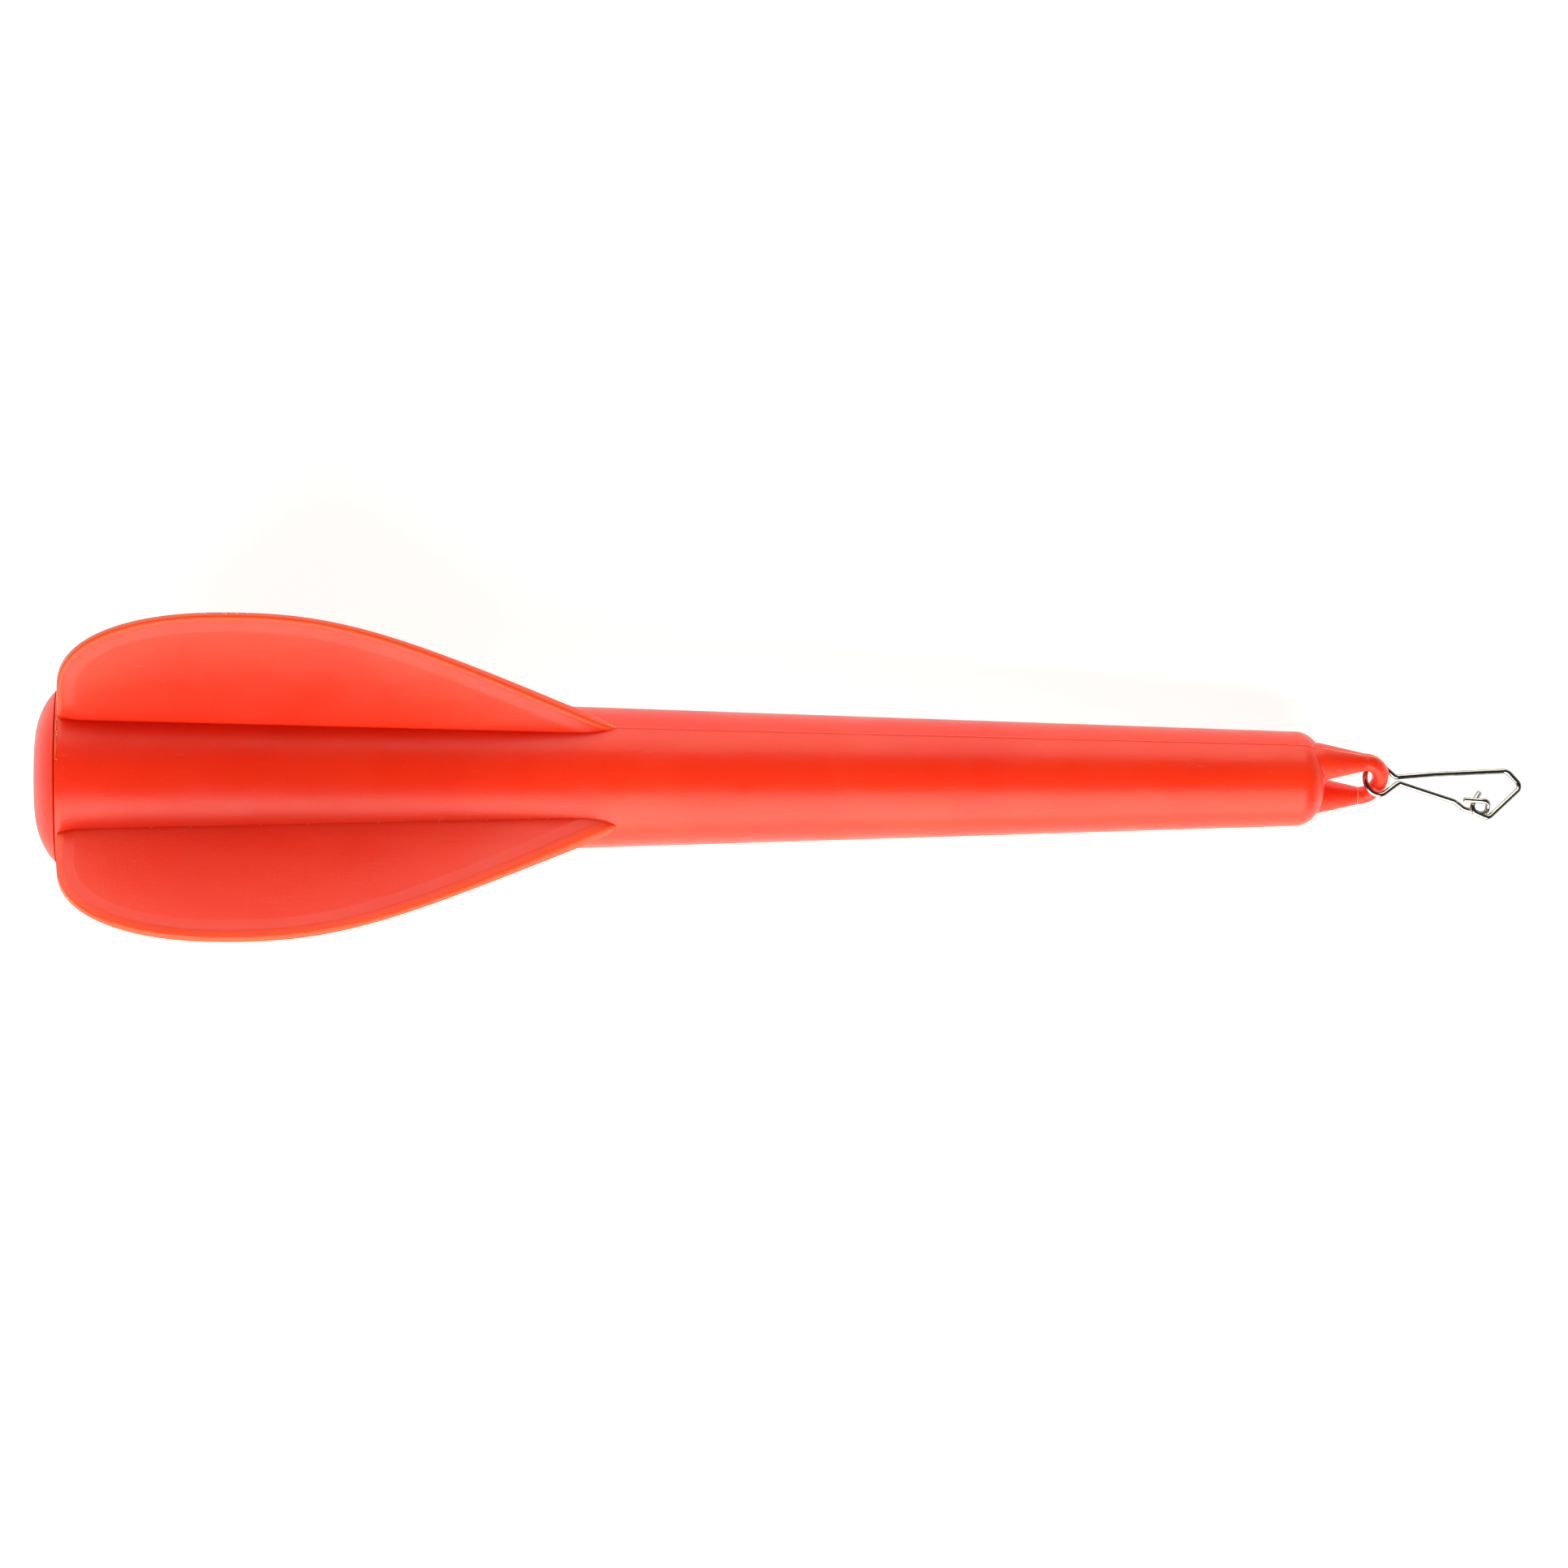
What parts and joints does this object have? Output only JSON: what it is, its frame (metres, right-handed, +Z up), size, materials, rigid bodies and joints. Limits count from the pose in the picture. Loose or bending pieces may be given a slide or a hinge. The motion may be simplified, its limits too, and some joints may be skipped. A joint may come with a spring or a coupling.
{
  "type": "finned tow float",
  "caption": "Tapered hollow plastic float with thin fins round its capped fat end and a moulded tow eye at its narrow end that carries a bent-wire snap.",
  "frame": {"origin": "middle of the resting object's bounding box, on the surface it lies on", "axes": "+X along the body towards the tow eye and snap (the body itself slopes down 5.9 degrees), +Z up, +Y sideways"},
  "size_m": [0.3514, 0.0746, 0.0758],
  "materials": {
    "moulding": "semi-gloss red-orange moulded plastic",
    "cap": "semi-gloss red-orange moulded plastic",
    "foam": "closed-cell foam",
    "ballast": "raw casting",
    "wire": "polished stainless wire"
  },
  "bodies": {
    "float": {"body_shell": "moulding", "end_cap": "cap", "foam_core": "foam", "ballast": "ballast", "fin_1": "moulding", "fin_2": "moulding", "fin_3": "moulding", "fin_4": "moulding", "tow_eye": "moulding"},
    "snap": {"snap_frame": "wire"},
    "latch": {"snap_latch": "wire"}
  },
  "joints": [
    {"name": "snap_swing", "type": "hinge", "parent": "float", "child": "snap", "pos_m": [0.14065, 0, 0.00992], "axis": [0.0727, 0.7071, 0.7034], "range_deg": [-75, 75]},
    {"name": "latch_flex", "type": "hinge", "parent": "snap", "child": "latch", "pos_m": [0.14478, -0.00118, 0.00906], "axis": [0.2484, 0.2588, 0.9334], "range_deg": [0, 6], "stiffness_Nm_per_rad": 0.02}
  ]
}
